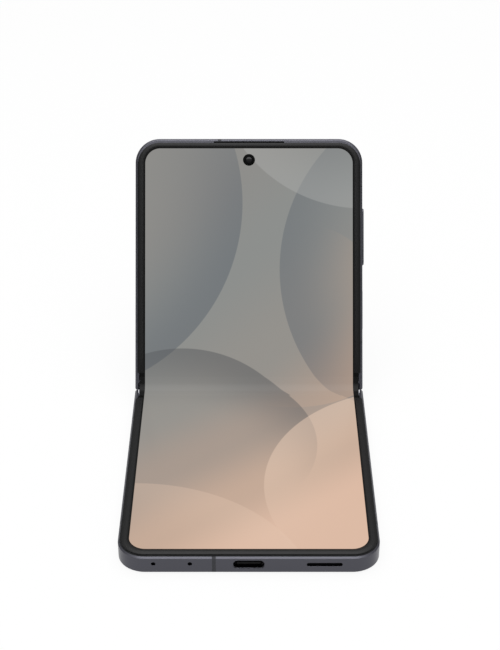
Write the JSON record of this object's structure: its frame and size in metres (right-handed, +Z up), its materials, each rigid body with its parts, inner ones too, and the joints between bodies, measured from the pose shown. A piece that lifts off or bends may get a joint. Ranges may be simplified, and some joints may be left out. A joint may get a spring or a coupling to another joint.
{
  "type": "foldable smartphone",
  "caption": "Clamshell foldable smartphone standing half open, with a flexible display across a geared hinge, metal frames, keys and camera rings.",
  "frame": {"origin": "centre of the lower half's back face, on the surface that the phone stands on", "axes": "+X to the right along the hinge, +Y from the charging port towards the hinge, +Z up out of the lower display"},
  "size_m": [0.0758, 0.133, 0.0753],
  "materials": {
    "frame_aluminium": "anodised satin",
    "back_glass": "satin",
    "cover_glass": "polished",
    "antenna_plastic": "matte",
    "bezel_plastic": "matte",
    "display": "glossy polymer over a lit panel",
    "steel": "brushed",
    "black_plastic": "matte",
    "battery_foil": "matte foil",
    "circuit_board": "solder resist",
    "copper": "enamelled wire",
    "magnet": "nickel plated",
    "lens_glass": "polished",
    "flash_plastic": "gloss",
    "spine_aluminium": "polished",
    "gear_brass": "machined",
    "flex_film": "polyimide film"
  },
  "bodies": {
    "lower_half": {"lower_frame": "frame_aluminium", "lower_back_glass": "back_glass", "lower_antenna_bands": "antenna_plastic", "lower_bezel": "bezel_plastic", "lower_display_plate": "steel", "display_lower": "display", "usb_shell": "steel", "usb_tongue": "black_plastic", "loudspeaker": "black_plastic", "speaker_mesh": "black_plastic", "lower_microphones": "steel", "lower_battery": "battery_foil", "lower_board": "circuit_board", "charging_coil": "copper", "vibration_motor": "steel", "lower_magnets": "magnet", "lower_screws": "steel", "lower_rotators": "steel"},
    "spine": {"spine_cover": "spine_aluminium", "spine_end_caps": "spine_aluminium", "hinge_brackets": "steel", "pinion_shafts": "steel", "bed_posts": "steel", "flex_cables": "flex_film", "display_fold": "display"},
    "upper_half": {"upper_frame": "frame_aluminium", "cover_glass": "cover_glass", "upper_antenna_bands": "antenna_plastic", "upper_bezel": "bezel_plastic", "upper_display_plate": "steel", "display_upper": "display", "cover_display": "display", "camera_rings": "spine_aluminium", "camera_lenses": "lens_glass", "camera_modules": "black_plastic", "camera_flash": "flash_plastic", "selfie_camera": "black_plastic", "earpiece": "black_plastic", "earpiece_mesh": "black_plastic", "main_board": "circuit_board", "shield_cans": "steel", "upper_battery": "battery_foil", "key_switches": "steel", "sim_reader": "steel", "upper_magnets": "magnet", "upper_screws": "steel", "upper_rotators": "steel"},
    "fold_bed": {"fold_bed": "steel"},
    "lower_pinion": {"lower_pinion": "gear_brass"},
    "lower_idler": {"lower_idler": "gear_brass"},
    "upper_idler": {"upper_idler": "gear_brass"},
    "upper_pinion": {"upper_pinion": "gear_brass"},
    "volume_rocker": {"volume_rocker": "frame_aluminium"},
    "side_key": {"side_key": "frame_aluminium"},
    "sim_tray": {"sim_tray": "frame_aluminium"}
  },
  "joints": [
    {"name": "fold_lower", "type": "hinge", "parent": "lower_half", "child": "spine", "pos_m": [0, 0.03977, 0.00495], "axis": [1, 0, 0], "range_deg": [-28.5, 61.5], "deforming": ["display_fold", "flex_cables"]},
    {"name": "fold_upper", "type": "hinge", "parent": "spine", "child": "upper_half", "pos_m": [0, 0.04311, 0.00676], "axis": [1, 0, 0], "range_deg": [-28.5, 61.5]},
    {"name": "bed_sink", "type": "slide", "parent": "spine", "child": "fold_bed", "axis": [0, 0.4772, -0.8788], "range_m": [-0.00071, 0.00154]},
    {"name": "lower_pinion_turn", "type": "hinge", "parent": "spine", "child": "lower_pinion", "pos_m": [0, 0.04064, 0.00294], "axis": [1, 0, 0], "range_deg": [-253.69, 117.56]},
    {"name": "lower_idler_turn", "type": "hinge", "parent": "spine", "child": "lower_idler", "pos_m": [0, 0.04187, 0.00361], "axis": [1, 0, 0], "range_deg": [-117.56, 253.69]},
    {"name": "upper_idler_turn", "type": "hinge", "parent": "spine", "child": "upper_idler", "pos_m": [0, 0.0431, 0.00428], "axis": [1, 0, 0], "range_deg": [-253.69, 117.56]},
    {"name": "upper_pinion_turn", "type": "hinge", "parent": "spine", "child": "upper_pinion", "pos_m": [0, 0.04433, 0.00494], "axis": [1, 0, 0], "range_deg": [-117.56, 253.69]},
    {"name": "volume_rocker_tilt", "type": "hinge", "parent": "upper_half", "child": "volume_rocker", "pos_m": [0.03475, 0.07122, 0.04701], "axis": [0, -0.8387, 0.5446], "range_deg": [-1.2, 1.2], "stiffness_Nm_per_rad": 0.2},
    {"name": "side_key_press", "type": "slide", "parent": "upper_half", "child": "side_key", "axis": [-1, 0, 0], "range_m": [0, 0.00025], "stiffness_N_per_m": 2000},
    {"name": "sim_tray_slide", "type": "slide", "parent": "upper_half", "child": "sim_tray", "axis": [-1, 0, 0], "range_m": [0, 0.0125]}
  ],
  "couplings": [
    {"joint": "fold_upper", "follows": "fold_lower", "ratio": 1},
    {"joint": "bed_sink", "follows": "fold_lower", "m_per_rad": 0.0014324},
    {"joint": "lower_pinion_turn", "follows": "fold_lower", "ratio": -4.125},
    {"joint": "lower_idler_turn", "follows": "fold_lower", "ratio": 4.125},
    {"joint": "upper_idler_turn", "follows": "fold_lower", "ratio": -4.125},
    {"joint": "upper_pinion_turn", "follows": "fold_lower", "ratio": 4.125}
  ]
}
